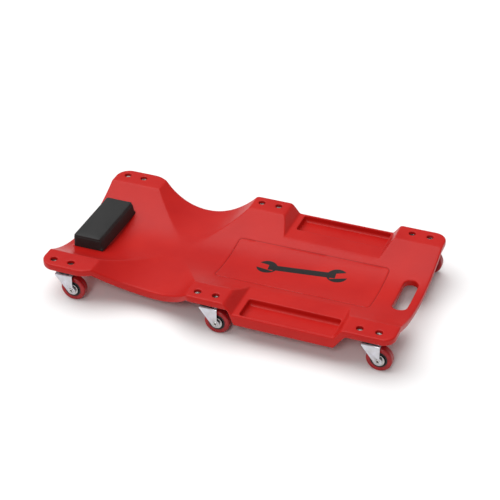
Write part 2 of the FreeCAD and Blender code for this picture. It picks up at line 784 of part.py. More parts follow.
def fork(tag, x, y):
    """Pressed steel fork: a flat crown with two raked legs that narrow to the axle."""
    body = doc.addObject("PartDesign::Body", f"fork_{tag}")
    trail = z["caster_trail"]
    half = z["fork_width"] / 2
    metal = z["fork_metal"]
    eye = Size.of(LEG_EYE_RADIUS)
    side_corners = [
        (Size.of(-LEG_HEAD_REACH), crown_top),
        (Size.of(-LEG_HEAD_REACH), crown_top - LEG_HEAD_DROP),
        *[(trail + eye * math.cos(angle), axle_height + eye * math.sin(angle))
          for angle in (LEG_EYE_START, LEG_EYE_FOOT, LEG_EYE_END)],
        (trail + LEG_FOOT_OFFSET, crown_top),
    ]
    blank = body_sketch(body, f"fork_side_{tag}", "XZ_Plane", side_corners, {2: (eye, 1), 3: (eye, 1)})
    pad = body.newObject("PartDesign::Pad", f"fork_blank_{tag}")
    pad.Profile = blank
    pad.Midplane = True
    bind(pad, "Length", z["fork_width"])
    doc.recompute()

    gap_corners = [(metal - half, -OVERSHOOT), (half - metal, -OVERSHOOT),
                   (half - metal, crown_under), (metal - half, crown_under)]
    gap = body_sketch(body, f"fork_gap_{tag}", "YZ_Plane", gap_corners)
    channel = body.newObject("PartDesign::Pocket", f"fork_channel_{tag}")
    channel.Profile = gap
    channel.Type = "ThroughAll"
    channel.Midplane = True
    doc.recompute()

    def bend(edge):
        box_of = edge.BoundBox
        on_top = box_of.ZMin > crown_top.value - 0.01
        return on_top and box_of.XLength > LEG_HEAD_REACH and box_of.YLength < 0.01

    rounded = body.newObject("PartDesign::Fillet", f"fork_bends_{tag}")
    rounded.Base = (channel, [f"Edge{number}" for number in edges_where(channel.Shape, bend)])
    bind(rounded, "Radius", metal + FORK_BEND_INSIDE)
    doc.recompute()

    king_hole = body.newObject("PartDesign::SubtractiveCylinder", f"fork_king_hole_{tag}")
    bind(king_hole, "Radius", kingpin_radius + RUNNING_CLEARANCE)
    bind(king_hole, "Height", pad_top)
    axle_hole = body.newObject("PartDesign::SubtractiveCylinder", f"fork_axle_hole_{tag}")
    bind(axle_hole, "Radius", z["axle_diameter"] / 2)
    bind(axle_hole, "Height", z["fork_width"] * 2)
    axle_hole.Placement = Placement(Vector(), ALONG_Y)
    bind(axle_hole, "Placement.Base.x", trail)
    bind(axle_hole, "Placement.Base.y", -z["fork_width"])
    bind(axle_hole, "Placement.Base.z", axle_height)
    race = body.newObject("PartDesign::SubtractiveTorus", f"fork_race_{tag}")
    bind(race, "Radius1", z["race_radius"])
    bind(race, "Radius2", ball_radius + RACE_CLEARANCE)
    bind(race, "Placement.Base.z", ball_height)
    body.Tip = race
    place(body, x, y)


# ---------------------------------------------------------------- wheel and axle
RIVET_FLANGE_RADIUS = 6.5
RIVET_FLANGE_HEIGHT = 1.6
RIVET_BORE_RADIUS = 2.3
RIVET_BORE_DEPTH = 7.0
RIVET_CHAMFER_WIDTH = 1.0
RIVET_CHAMFER_LENGTH = 0.8
CAP_METAL = 1.4
CAP_RADIUS = 15.0
CAP_BORE_CLEARANCE = 0.6
HUB_BOSS_RADIUS = 12.5
HUB_RIM_METAL = 3.0
HUB_RIM_INSET = 0.5
HUB_WEB_INSET = 3.5
HUB_BOSS_DRAFT = 0.6
HUB_RIM_DRAFT = 1.0

wheel_radius = z["wheel_diameter"] / 2
axle_radius = z["axle_diameter"] / 2
bush_radius = axle_radius + RUNNING_CLEARANCE + z["bush_wall"]
hub_rim_radius = wheel_radius - z["tyre_thickness"]
leg_inside = z["fork_width"] / 2 - z["fork_metal"]


def axle(tag, x, y):
    """Tubular rivet through both legs, with a hollow end each side."""
    out = z["fork_width"] / 2
    tip = out + RIVET_FLANGE_HEIGHT
    corners = []
    for side in (-1.0, 1.0):
        ring = [(tip * side - RIVET_BORE_DEPTH * side, ZERO),
                (tip * side - RIVET_BORE_DEPTH * side, Size.of(RIVET_BORE_RADIUS)),
                (tip * side, Size.of(RIVET_BORE_RADIUS)),
                (tip * side, Size.of(RIVET_FLANGE_RADIUS - RIVET_CHAMFER_WIDTH)),
                ((tip - RIVET_CHAMFER_LENGTH) * side, Size.of(RIVET_FLANGE_RADIUS)),
                (out * side, Size.of(RIVET_FLANGE_RADIUS)),
                (out * side, axle_radius)]
        corners += ring if side < 0 else ring[::-1]
    # the profile lies along the axle, so the body is turned to bring its length onto Y
    body = turned_body(f"axle_{tag}", corners, None, "H_Axis")
    place(body, x + z["caster_trail"], y, axle_height, Rotation(Vector(0, 0, 1), 90))


def axle_bush(tag, x, y):
    inner = axle_radius + RUNNING_CLEARANCE
    corners = [(-leg_inside, inner), (leg_inside, inner),
               (leg_inside, bush_radius), (-leg_inside, bush_radius)]
    body = turned_body(f"axle_bush_{tag}", corners, None, "H_Axis")
    place(body, x + z["caster_trail"], y, axle_height, Rotation(Vector(0, 0, 1), 90))


def wheel_hub(tag, x, y):
    """Moulded hub: a long boss on the bush, a thin web, and a rim that carries the tyre."""
    bore = bush_radius + RUNNING_CLEARANCE
    boss = z["hub_length"] / 2
    rim = z["tyre_width"] / 2 - HUB_RIM_INSET
    web = rim - HUB_WEB_INSET
    right = [(boss, bore), (boss, Size.of(HUB_BOSS_RADIUS)), (web, HUB_BOSS_RADIUS + HUB_BOSS_DRAFT),
             (web, hub_rim_radius - HUB_RIM_METAL - HUB_RIM_DRAFT), (rim, hub_rim_radius - HUB_RIM_METAL),
             (rim, hub_rim_radius)]
    corners = right + [(-across, radius) for across, radius in reversed(right)]
    body = turned_body(f"wheel_hub_{tag}", corners, None, "H_Axis")
    place(body, x + z["caster_trail"], y, axle_height, Rotation(Vector(0, 0, 1), 90))


def tyre(tag, x, y):
    half = z["tyre_width"] / 2
    shoulder = z["tyre_shoulder"]
    corners = [(-half, hub_rim_radius), (half, hub_rim_radius), (half, wheel_radius - shoulder),
               (half - shoulder, wheel_radius), (shoulder - half, wheel_radius),
               (-half, wheel_radius - shoulder)]
    body = turned_body(f"tyre_{tag}", corners, {2: (shoulder, 1), 4: (shoulder, 1)}, "H_Axis")
    place(body, x + z["caster_trail"], y, axle_height, Rotation(Vector(0, 0, 1), 90))


def dust_caps(tag, x, y):
    """Thin pressed discs, one on each end of the hub, that keep dirt off the bush."""
    inner = z["hub_length"] / 2
    bore = bush_radius + CAP_BORE_CLEARANCE
    caps = []
    for name, start in (("outer", inner), ("inner", -inner - CAP_METAL)):
        disc = cylinder(f"cap_disc_{tag}_{name}", Size.of(CAP_RADIUS), Size.of(CAP_METAL),
                        x + z["caster_trail"], y + start, axle_height, ALONG_Y)
        hole = cylinder(f"cap_hole_{tag}_{name}", bore, Size.of(CAP_METAL),
                        x + z["caster_trail"], y + start, axle_height, ALONG_Y)
        caps.append(cut(f"cap_{tag}_{name}", disc, hole))
    group(f"dust_caps_{tag}", caps)


# ---------------------------------------------------------------- build and write
NODES = ["deck_shell", "headrest_board", "headrest_cushion", "headrest_screws",
         "caster_bolts", "bolt_washers", "lock_nuts", "kingpins", "race_cups"]
deck_shell()
headrest()
caster_fasteners()
kingpins_and_cups()
for station, x in STATIONS.items():
    for side, y in SIDES.items():
        tag = f"{station}_{side}"
        for make in (top_plate, race_balls, fork, axle, axle_bush, wheel_hub, tyre, dust_caps):
            make(tag, x, y)
            NODES.append(f"{make.__name__}_{tag}")
doc.recompute()

for item in doc.Objects:
    if "Invalid" in item.State or "Error" in item.State:
        raise RuntimeError(f"{item.Name} failed: {item.State}")

os.makedirs("parts", exist_ok=True)
for name in NODES:
    node = doc.getObject(name)
    node.Label = name
    shape = node.Shape
    if shape.isNull() or not shape.isValid() or not shape.Solids:
        raise RuntimeError(f"{name} has no valid solid")
    shape.exportStep(os.path.join("parts", f"{name}.step"))
    print(f"{name}: {len(shape.Solids)} solid(s), {shape.Volume / 1000:.2f} cm3")
print(f"{len(NODES)} nodes written")
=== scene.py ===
import math

import bmesh
import bpy
from mathutils import Matrix, Vector, noise


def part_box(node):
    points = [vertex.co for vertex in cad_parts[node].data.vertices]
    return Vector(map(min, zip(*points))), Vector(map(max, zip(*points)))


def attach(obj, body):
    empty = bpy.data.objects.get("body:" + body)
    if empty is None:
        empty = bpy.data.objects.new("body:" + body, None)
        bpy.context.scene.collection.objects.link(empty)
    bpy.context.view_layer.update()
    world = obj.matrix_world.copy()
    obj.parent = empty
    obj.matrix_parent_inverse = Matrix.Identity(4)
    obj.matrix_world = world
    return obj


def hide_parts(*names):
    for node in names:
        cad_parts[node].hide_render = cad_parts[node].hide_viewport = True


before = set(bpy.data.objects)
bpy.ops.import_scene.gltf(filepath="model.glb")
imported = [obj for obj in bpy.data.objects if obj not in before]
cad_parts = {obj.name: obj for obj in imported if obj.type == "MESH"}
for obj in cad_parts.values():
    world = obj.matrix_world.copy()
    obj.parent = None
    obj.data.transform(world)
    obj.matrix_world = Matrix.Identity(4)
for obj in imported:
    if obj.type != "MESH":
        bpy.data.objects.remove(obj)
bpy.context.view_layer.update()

# ------------------------------------------------------------------ deck
# The deck is one blow-moulded piece of red polyethylene: flat pads over the casters, a lying
# trough between them, a waist, two tool trays and a handle slot. Its skin is drawn over every
# edge, so all its creases are soft. It carries every other part.


class Wire:
    """One socket of a node tree. Sums and products of wires add the Math nodes for them."""

    def __init__(self, tree, socket=None):
        self.tree = tree
        self.socket = socket

    def node(self, kind, settings=None, sockets=None, out=0):
        """Add a node: its settings first, then the values or wires of its sockets."""
        made = self.tree.nodes.new(kind)
        for name, value in (settings or {}).items():
            if name == "stops":
                for number, (place, colour) in enumerate(value):
                    ramp = made.color_ramp.elements
                    stop = ramp[number] if number < 2 else ramp.new(place)
                    stop.position = place
                    stop.color = colour
            else:
                setattr(made, name, value)
        for name, value in (sockets or {}).items():
            if isinstance(value, Wire):
                self.tree.links.new(value.socket, made.inputs[name])
            else:
                made.inputs[name].default_value = value
        return Wire(self.tree, made.outputs[out])

    def maths(self, operation, *values):
        return self.node("ShaderNodeMath", {"operation": operation}, dict(enumerate(values)))

    def __add__(self, other):
        return self.maths("ADD", self, other)

    def __sub__(self, other):
        return self.maths("SUBTRACT", self, other)

    def __rsub__(self, other):
        return self.maths("SUBTRACT", other, self)

    def __mul__(self, other):
        return self.maths("MULTIPLY", self, other)

    def __truediv__(self, other):
        return self.maths("DIVIDE", self, other)

    def __rtruediv__(self, other):
        return self.maths("DIVIDE", other, self)

    def __neg__(self):
        return self.maths("MULTIPLY", self, -1.0)

    def __abs__(self):
        return self.maths("ABSOLUTE", self)

    __radd__ = __add__
    __rmul__ = __mul__

    def least(self, other, soft=0.0):
        return self.maths("SMOOTH_MIN" if soft else "MINIMUM", self, other, soft)

    def most(self, other, soft=0.0):
        return self.maths("SMOOTH_MAX" if soft else "MAXIMUM", self, other, soft)

    def reach(self, other):
        """Length of the vector whose two sides these are."""
        return self.maths("SQRT", self * self + other * other)

    def below(self, limit, width):
        """1 well below the limit and 0 above it, changing over the width."""
        return self.node("ShaderNodeMapRange", {"interpolation_type": "SMOOTHSTEP"},
                         {0: self, 1: limit - width / 2, 2: limit + width / 2, 3: 1.0, 4: 0.0})


DECK = {
    "Half length": 0.4495, "Half width": 0.241, "Pad top": 0.1015, "Pad underside": 0.083,
    "Head corner": 0.036, "Foot corner": 0.032,
    "Trough reach": 0.177, "Trough depth head": 0.0485, "Trough depth foot": 0.0395,
    "Trough wall": 0.018,
    "Waist x": -0.1735, "Waist dip": 0.0445, "Waist head run": 0.140, "Waist foot run": 0.112,
    "Waist wall": 0.0225, "Waist plan x": -0.1965, "Waist plan y": 0.443,
    "Waist plan radius": 0.245,
    "Tray zone start": 0.0355, "Tray zone end": 0.3255, "Tray zone top": 0.076,
    "Tray slope": 0.021, "Tray foot slope": 0.018, "Tray skirt": 0.009, "Tray underside": 0.045,
    "Tray x": 0.188, "Tray y": 0.199, "Tray length": 0.231, "Tray width": 0.070,
    "Tray floor": 0.059, "Tray round": 0.007,
    "Slot x": 0.4095, "Slot half width": 0.018, "Slot reach": 0.0465,
    "Groove x": 0.1475, "Groove half length": 0.1978, "Groove half width": 0.0888,
    "Groove round": 0.011, "Groove width": 0.0014, "Groove depth": 0.0014,
    "Head station": -0.3965, "Mid station": -0.0165, "Foot station": 0.3855,
    "Station y": 0.214, "Bolt reach": 0.023, "Bolt hole": 0.0045,
    "Recess radius": 0.00875, "Recess floor": 0.0885,
    "Plinth x": -0.3885, "Plinth half length": 0.037, "Plinth half width": 0.097,
    "Plinth top": 0.068, "Screw reach x": 0.018, "Screw reach y": 0.060,
    "Screw pocket": 0.0055, "Screw pocket top": 0.060,
}
DECK_VOXEL = 0.00148
DECK_LOW = (-0.45434, -0.2442, 0.0296)
DECK_VOXELS = (615, 331, 51)
RIDGE_SOFT = 0.0038
SLOPE_SOFT = 0.010
EDGE_SOFT = 0.0065
UNDER_SOFT = 0.010
RIM_SOFT = 0.0035


def geometry_tree(name, sizes):
    """An empty Geometry Nodes tree with one named input for each size."""
    tree = bpy.data.node_groups.new(name, "GeometryNodeTree")
    sockets = tree.interface.new_socket
    sockets("Geometry", in_out="INPUT", socket_type="NodeSocketGeometry")
    sockets("Geometry", in_out="OUTPUT", socket_type="NodeSocketGeometry")
    for size in sizes:
        sockets(size, in_out="INPUT", socket_type="NodeSocketFloat")
    entry = tree.nodes.new("NodeGroupInput")
    return tree, {socket.name: Wire(tree, socket) for socket in entry.outputs if socket.name}


def end_tree(tree, geometry, material):
    solid = Wire(tree).node("GeometryNodeRealizeInstances", None, {0: geometry})
    smooth = Wire(tree).node("GeometryNodeSetShadeSmooth", None, {0: solid})
    finished = Wire(tree).node("GeometryNodeSetMaterial", None,
                               {"Geometry": smooth, "Material": material})
    leave = tree.nodes.new("NodeGroupOutput")
    tree.links.new(finished.socket, leave.inputs[0])


def grow(tree, sizes, seed_mesh, name):
    """Run a tree on a mesh and keep the result as a plain mesh object of that name."""
    carrier = bpy.data.objects.new(f"{name}_carrier", seed_mesh)
    bpy.context.scene.collection.objects.link(carrier)
    grower = carrier.modifiers.new("grow", "NODES")
    grower.node_group = tree
    for item in tree.interface.items_tree:
        if item.in_out == "INPUT" and item.name in sizes:
            grower[item.identifier] = sizes[item.name]
    evaluated = carrier.evaluated_get(bpy.context.evaluated_depsgraph_get())
    mesh = bpy.data.meshes.new_from_object(evaluated)
    bpy.data.objects.remove(carrier)
    return keep(name, mesh)


def keep(name, mesh):
    mesh.name = name
    piece = bpy.data.objects.new(name, mesh)
    bpy.context.scene.collection.objects.link(piece)
    return piece


def shader(name, **constants):
    """A Principled material, with its constant sockets set; returns it, a wire and its sockets."""
    material = bpy.data.materials.new(name)
    material.use_nodes = True
    tree = material.node_tree
    skin = tree.nodes["Principled BSDF"]
    for socket, value in constants.items():
        skin.inputs[socket.replace("_", " ")].default_value = value
    return material, Wire(tree), skin


def paint(wire, skin, **inputs):
    for socket, value in inputs.items():
        wire.tree.links.new(value.socket, skin.inputs[socket.replace("_", " ")])


def object_place(wire):
    return wire.node("ShaderNodeTexCoord", None, None, "Object")


def speckle(wire, place, scale, detail=2.0, roughness=0.5):
    return wire.node("ShaderNodeTexNoise", None,
                     {"Vector": place, "Scale": scale, "Detail": detail, "Roughness": roughness})


def blend_colours(wire, share, first, second):
    return wire.node("ShaderNodeMix", {"data_type": "RGBA"}, {0: share, 6: first, 7: second}, 2)


def relief(wire, height, distance, strength=1.0, under=None):
    sockets = {"Height": height, "Distance": distance, "Strength": strength}
    if under is not None:
        sockets["Normal"] = under
    return wire.node("ShaderNodeBump", None, sockets)


def ramp(wire, value, low, high):
    """0 at low and below, 1 at high and above."""
    return wire.node("ShaderNodeMapRange", None, {0: value, 1: low, 2: high, 3: 0.0, 4: 1.0})


RED = (0.48, 0.0110, 0.0075, 1)
RED_DEEP = (0.43, 0.0075, 0.0060, 1)
RED_SCUFFED = (0.52, 0.026, 0.019, 1)
GROOVE_SHADE_RED = (0.15, 0.0040, 0.0035, 1)
INK = (0.012, 0.011, 0.011, 1)

deck_plastic, wire, skin = shader("deck_plastic", Specular_IOR_Level=0.17)
place = object_place(wire)
cloudy = speckle(wire, place, 9.0, 3.0)
grain = speckle(wire, place, 1500.0, 2.0, 0.6)
ripple = speckle(wire, place, 16.0, 1.0)
scuffs = speckle(wire, wire.node("ShaderNodeMapping", None, {"Vector": place, "Scale": (14, 60, 60)}),
                 6.0, 5.0, 0.65)
scuffed = ramp(wire, scuffs, 0.60, 0.78)
red = blend_colours(wire, ramp(wire, cloudy, 0.35, 0.7), RED_DEEP, RED)
red = blend_colours(wire, scuffed * 0.35, red, RED_SCUFFED)

# painted shade: the red is darkened along the groove round the panel
across_x, across_y = (wire.node("ShaderNodeSeparateXYZ", None, {0: place}, out) for out in (0, 1))
over_x = abs(across_x - DECK["Groove x"]) - (DECK["Groove half length"] - DECK["Groove round"])
over_y = abs(across_y) - (DECK["Groove half width"] - DECK["Groove round"])
from_groove = abs(over_x.most(0.0).reach(over_y.most(0.0)) + over_x.most(over_y).least(0.0)
                  - DECK["Groove round"])
red = blend_colours(wire, from_groove.below(0.0007, 0.0010) * 0.8, red, GROOVE_SHADE_RED)

# printed on the panel: a plain double-ended spanner
x, y, z = (wire.node("ShaderNodeSeparateXYZ", None, {0: wire.node(
    "ShaderNodeMapping", {"vector_type": "TEXTURE"},
    {"Vector": place, "Location": (0.142, 0.012, 0), "Rotation": (0, 0, math.radians(7))})}, out)
    for out in range(3))
shank = abs(y).most(abs(x) - 0.074) - 0.0105
ends = None
for side in (-1.0, 1.0):
    from_end = x * side - 0.088
    head = from_end.reach(y) - 0.026
    jaw = abs(y - from_end * 0.27).most(-0.006 - from_end) - 0.0105
    end = head.most(-jaw)
    ends = end if ends is None else ends.least(end)
facing_up = wire.node("ShaderNodeSeparateXYZ", None,
                      {0: wire.node("ShaderNodeTexCoord", None, None, "Normal")}, 2)
printed = shank.least(ends).below(0.0, 0.0006) * ramp(wire, facing_up, 0.3, 0.5)
printed = printed * (1.0 - scuffed * 0.25)
paint(wire, skin,
      Base_Color=blend_colours(wire, printed, red, INK),
      Roughness=0.30 + cloudy * 0.08 + scuffed * 0.08 + printed * 0.05,
      Normal=relief(wire, grain, 0.00006, 0.55, relief(wire, ripple, 0.0009, 0.30)))

tree, size = geometry_tree("deck_form", DECK)
w = Wire(tree)
position = w.node("GeometryNodeInputPosition")
x, y, z = (w.node("ShaderNodeSeparateXYZ", None, {0: position}, out) for out in range(3))
ay = abs(y)
at_head = x.maths("LESS_THAN", x, 0.0)
pad_top = size["Pad top"]


def arc_height(lowest, run_head, run_foot, dip):
    """Height of the waist's side line: one arc down to its lowest point and one up again."""
    along = x - size["Waist x"]
    run = run_foot + (run_head - run_foot) * along.maths("LESS_THAN", along, 0.0)
    radius = (run * run + dip * dip) / (dip * 2.0)
    return lowest + radius - (radius * radius - along * along).most(0.0).maths(
        "SQRT", (radius * radius - along * along).most(0.0))


# top: the lowest of the pads, the trough and the side line
share = x / (size["Half length"] * 2.0) + 0.5
depth = size["Trough depth head"] + (size["Trough depth foot"] - size["Trough depth head"]) * share
radius = (size["Trough reach"] * size["Trough reach"] + depth * depth) / (depth * 2.0)
trough = pad_top - depth + radius - ay.maths("SQRT", (radius * radius - ay * ay).most(0.0))
waist = arc_height(pad_top - size["Waist dip"], size["Waist head run"], size["Waist foot run"],
                   size["Waist dip"])
drop = pad_top - size["Tray zone top"]
down = (size["Tray zone start"] + size["Tray slope"] - x) * drop / size["Tray slope"]
up = (x - size["Tray zone end"] + size["Tray foot slope"]) * drop / size["Tray foot slope"]
trays_top = size["Tray zone top"] + down.most(up).most(0.0, 0.005)
side_top = pad_top.least(waist, RIDGE_SOFT).least(trays_top, SLOPE_SOFT)
top = side_top.least(trough, RIDGE_SOFT)

# a fine groove frames the panel that the back lies on
beside_x = abs(x - size["Groove x"]) - (size["Groove half length"] - size["Groove round"])
beside_y = ay - (size["Groove half width"] - size["Groove round"])
ring = (beside_x.most(0.0).reach(beside_y.most(0.0)) + beside_x.most(beside_y).least(0.0)
        - size["Groove round"])
ring = ring / size["Groove width"]
ring = 1.0 + ring * ring
top = top - size["Groove depth"] / (ring * ring)

# underside: level under the pads, and a wall's thickness below the trough
under_low = pad_top - size["Waist dip"] - size["Waist wall"]
waist_under = arc_height(under_low, size["Waist head run"], size["Waist foot run"],
                         size["Pad underside"] - under_low)
drop = size["Pad underside"] - size["Tray underside"]
skirt = size["Tray skirt"]
run = size["Tray slope"] - skirt / 2.0
down = (size["Tray zone start"] + skirt + run - x) * drop / run
up = (x - size["Tray zone end"] + size["Tray foot slope"]) * drop / (size["Tray foot slope"] + skirt)
trays_under = size["Tray underside"] + down.most(up).most(0.0, 0.006)
bottom = size["Pad underside"].least(waist_under).least(trays_under, SLOPE_SOFT)
bottom = bottom.least(trough.least(pad_top) - size["Trough wall"])

# outline from above
corner = size["Foot corner"] + (size["Head corner"] - size["Foot corner"]) * at_head
beside_x = abs(x) - (size["Half length"] - corner)
beside_y = ay - (size["Half width"] - corner)
outline = (beside_x.most(0.0).reach(beside_y.most(0.0)) + beside_x.most(beside_y).least(0.0)
           - corner)
from_waist = x - size["Waist plan x"]
waist_cut = size["Waist plan radius"] - from_waist.reach(ay - size["Waist plan y"])
blend_width = 0.006 + 0.0075 * from_waist.maths("LESS_THAN", from_waist, 0.0)
outline = outline.maths("SMOOTH_MAX", outline, waist_cut, blend_width)

body = outline.most(bottom - z, UNDER_SOFT).most(z - top, EDGE_SOFT)
plinth = (abs(x - size["Plinth x"]) - size["Plinth half length"]).most(
    ay - size["Plinth half width"]).most(z - size["Plinth top"]).most(
    size["Plinth top"] - 0.020 - z)
body = body.least(plinth, 0.008)

# openings: the trays, the slot, the bolt recesses and the pockets of the headrest screws
tray_round = size["Tray round"]
beside_x = abs(x - size["Tray x"]) - (size["Tray length"] / 2.0 - tray_round)
beside_y = abs(ay - size["Tray y"]) - (size["Tray width"] / 2.0 - tray_round)
beside_z = size["Tray floor"] + tray_round - z
outside = beside_x.most(0.0).reach(beside_y.most(0.0)).reach(beside_z.most(0.0))
tray = outside + beside_x.most(beside_y).most(beside_z).least(0.0) - tray_round
body = body.most(-tray, RIM_SOFT)
slot = (x - size["Slot x"]).reach((ay - size["Slot reach"]).most(0.0)) - size["Slot half width"]
body = body.most(-slot, EDGE_SOFT)
station = abs(x - size["Head station"]).least(abs(x - size["Mid station"])).least(
    abs(x - size["Foot station"]))
from_bolt = (station - size["Bolt reach"]).reach(ay - size["Station y"])
recess = (from_bolt - size["Recess radius"]).most(size["Recess floor"] - z)
body = body.most(-recess.least(from_bolt - size["Bolt hole"]), 0.0015)
from_screw = (abs(x - size["Plinth x"]) - size["Screw reach x"]).reach(ay - size["Screw reach y"])
pocket = (from_screw - size["Screw pocket"]).most(z - size["Screw pocket top"])
body = body.most(-pocket, 0.001)

block = w.node("GeometryNodeVolumeCube", None, {
    "Density": -body, "Background": -0.01,
    "Min": DECK_LOW,
    "Max": tuple(low + DECK_VOXEL * (count - 1) for low, count in zip(DECK_LOW, DECK_VOXELS)),
    "Resolution X": DECK_VOXELS[0], "Resolution Y": DECK_VOXELS[1],
    "Resolution Z": DECK_VOXELS[2]})
skin_mesh = w.node("GeometryNodeVolumeToMesh", None,
                   {"Volume": block, "Threshold": 0.0, "Adaptivity": 0.004})
end_tree(tree, skin_mesh, deck_plastic)
deck = grow(tree, DECK, bpy.data.meshes.new("empty"), "deck_moulding")
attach(deck, "deck")
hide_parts("deck_shell")

# ------------------------------------------------------------------ headrest
# A foam block under black vinyl, stapled round a fibre board that is screwed to a low plinth
# in the trough. The cover's panels swell a little between the seams that join them.
FIBRE = (0.050, 0.036, 0.027, 1)
FIBRE_DARK = (0.028, 0.020, 0.015, 1)
board_fibre, wire, skin = shader("board_fibre", Specular_IOR_Level=0.3)
place = object_place(wire)
strands = speckle(wire, wire.node("ShaderNodeMapping", None, {"Vector": place, "Scale": (260, 60, 260)}),
                  1.0, 4.0, 0.7)
paint(wire, skin, Base_Color=blend_colours(wire, strands, FIBRE_DARK, FIBRE),
      Roughness=0.72 + strands * 0.15, Normal=relief(wire, strands, 0.0003, 0.5))
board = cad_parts["headrest_board"]
board.data.materials.clear()
board.data.materials.append(board_fibre)

VINYL = (0.0125, 0.0125, 0.0125, 1)
VINYL_WORN = (0.022, 0.0215, 0.021, 1)
cover_vinyl, wire, skin = shader("cover_vinyl", Specular_IOR_Level=0.27)
place = object_place(wire)
pebbles = wire.node("ShaderNodeTexVoronoi", {"feature": "SMOOTH_F1"},
                    {"Vector": place, "Scale": 620.0, "Smoothness": 0.6})
creases = speckle(wire, place, 210.0, 4.0, 0.6)
wear_and_glint_patches = ramp(wire, speckle(wire, place, 22.0, 4.0, 0.6), 0.45, 0.75)
paint(wire, skin, Base_Color=blend_colours(wire, wear_and_glint_patches * 0.6, VINYL, VINYL_WORN),
      Roughness=0.47 + wear_and_glint_patches * 0.10 + pebbles * 0.06,
      Normal=relief(wire, pebbles, 0.00010, 0.55, relief(wire, creases, 0.00025, 0.35)))

CUSHION_X = -0.3898
CUSHION_HALF_LENGTH = 0.0370
CUSHION_HALF_WIDTH = 0.0965
CUSHION_FLARE = 0.0034
CUSHION_LEAN = 0.0046
CUSHION_SAG = 0.0026
CUSHION_TOP = 0.1004
CUSHION_FOOT = 0.0655
CUSHION_VOXEL = 0.0045
SWELL_FRAMES = 20
SWELL_MOST = 0.0024
SEAM_REACH = 0.0052
SEAM_BELOW_TOP = 0.0042
SEAM_WIDTH = 0.0011
SEAM_DEPTH = 0.0009


def cushion_blank():
    """The foam block, wider at its foot than on top and leaning towards the head end."""
    form = bmesh.new()
    corners = [[form.verts.new((CUSHION_X + CUSHION_LEAN * low
                                + a * (CUSHION_HALF_LENGTH + CUSHION_FLARE * low),
                                b * (CUSHION_HALF_WIDTH + CUSHION_FLARE * low), height))
                for a, b in ((-1, -1), (1, -1), (1, 1), (-1, 1))]
               for height, low in ((CUSHION_FOOT, 1.0), (CUSHION_TOP, 0.0))]
    form.faces.new(corners[0][::-1])
    form.faces.new(corners[1])
    for a in range(4):
        b = (a + 1) % 4
        form.faces.new((corners[0][a], corners[0][b], corners[1][b], corners[1][a]))
    mesh = bpy.data.meshes.new("cushion_blank")
    form.to_mesh(mesh)
    form.free()
    return mesh


def how_low(point):
    """0 at the block's top and 1 at its foot."""
    return min(max((CUSHION_TOP - point.z) / (CUSHION_TOP - CUSHION_FOOT), 0.0), 1.0)


def seam_distance(point):
    """How far a point is from the nearest edge of the block, where panels are sewn together."""
    low = how_low(point)
    flare = CUSHION_FLARE * low
    from_middle = abs(point.x - CUSHION_X - CUSHION_LEAN * low)
    gaps = sorted((abs(CUSHION_HALF_LENGTH + flare - from_middle),
                   abs(CUSHION_HALF_WIDTH + flare - abs(point.y)),
                   min(abs(CUSHION_TOP - point.z), abs(point.z - CUSHION_FOOT))))
    return math.hypot(gaps[0], gaps[1])


def evaluated_mesh(piece):
    return bpy.data.meshes.new_from_object(
        piece.evaluated_get(bpy.context.evaluated_depsgraph_get()))


def add_modifier(piece, kind, **settings):
    added = piece.modifiers.new(kind.lower(), kind)
    for name, value in settings.items():
        setattr(added, name, value)
    return added


def settle(piece):
    """Turn a piece's modifiers into its own mesh."""
    mesh = evaluated_mesh(piece)
    piece.modifiers.clear()
    piece.data = mesh
    mesh.name = piece.name


cushion = keep("headrest_pad", cushion_blank())
add_modifier(cushion, "REMESH", mode="VOXEL", voxel_size=CUSHION_VOXEL)
settle(cushion)
at_rest = [vertex.co.copy() for vertex in cushion.data.vertices]
sewn = cushion.vertex_groups.new(name="sewn")
for number, spot in enumerate(at_rest):
    hold = 1.0 - min(seam_distance(spot) / SEAM_REACH, 1.0)
    under = spot.z < CUSHION_FOOT + CUSHION_VOXEL / 2
    sewn.add([number], 1.0 if under else hold, "REPLACE")
cloth = cushion.modifiers.new("swell", "CLOTH")
cloth.settings.use_pressure = True
cloth.settings.uniform_pressure_force = 4.0
cloth.settings.tension_stiffness = 12.0
cloth.settings.compression_stiffness = 12.0
cloth.settings.bending_stiffness = 1.5
cloth.settings.vertex_group_mass = "sewn"
cloth.settings.effector_weights.gravity = 0.0
cloth.point_cache.frame_start = 1
cloth.point_cache.frame_end = SWELL_FRAMES
for step in range(1, SWELL_FRAMES + 1):
    bpy.context.scene.frame_set(step)
settle(cushion)
bpy.context.scene.frame_set(1)
for vertex, spot in zip(cushion.data.vertices, at_rest):
    push = vertex.co - spot
    if push.length > SWELL_MOST:
        vertex.co = spot + push.normalized() * SWELL_MOST
add_modifier(cushion, "SUBSURF", levels=2, render_levels=2)
settle(cushion)

# the seam that joins the top panel to the side band, and faint puckers where it is pulled in
for vertex in cushion.data.vertices:
    spot = vertex.co
    below = (CUSHION_TOP - SEAM_BELOW_TOP - spot.z) / SEAM_WIDTH
    low = how_low(spot)
    beside = max(abs(spot.x - CUSHION_X - CUSHION_LEAN * low) - CUSHION_HALF_LENGTH,
                 abs(spot.y) - CUSHION_HALF_WIDTH)
    if beside > -0.0035:
        pull = math.exp(-below * below)
        pucker = noise.noise(Vector((spot.x, spot.y, 0.0)) * 90.0) * 0.0004
        spot = spot - vertex.normal * (SEAM_DEPTH * pull + pucker * math.exp(-abs(below) / 4))
    hollow = 1.0 - min(abs(spot.y) / CUSHION_HALF_WIDTH, 1.0) ** 2
    vertex.co = (spot.x, spot.y, spot.z - CUSHION_SAG * low * low * hollow)
cushion.data.shade_smooth()
cushion.data.materials.clear()
cushion.data.materials.append(cover_vinyl)
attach(cushion, "deck")
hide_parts("headrest_cushion")
